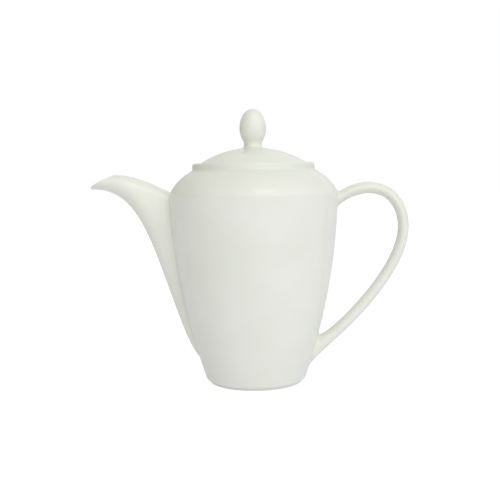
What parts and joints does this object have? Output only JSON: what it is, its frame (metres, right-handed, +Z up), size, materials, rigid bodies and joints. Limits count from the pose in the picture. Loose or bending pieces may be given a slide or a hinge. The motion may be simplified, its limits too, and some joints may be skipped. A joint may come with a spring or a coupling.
{
  "type": "coffee pot",
  "caption": "Tall tapered porcelain coffee pot with a swan-neck spout, a loop handle and a domed lift-off lid with an egg-shaped knob.",
  "frame": {"origin": "centre of the foot ring's lower face, on the surface that the pot stands on", "axes": "+Z up along the pot's axis, +X towards the handle, -X towards the spout"},
  "size_m": [0.2225, 0.1172, 0.1907],
  "materials": {
    "glaze": "clear gloss glaze on off-white porcelain",
    "biscuit": "bare ground porcelain, matt"
  },
  "bodies": {
    "pot": {"pot_body": "glaze", "foot_ring": "biscuit", "spout": "glaze", "handle": "glaze"},
    "lid": {"lid": "glaze", "lid_flange": "glaze", "lid_knob": "glaze"}
  },
  "joints": [
    {"name": "lid_lift", "type": "slide", "parent": "pot", "child": "lid", "axis": [0, 0, 1], "range_m": [0, 0.06]}
  ]
}
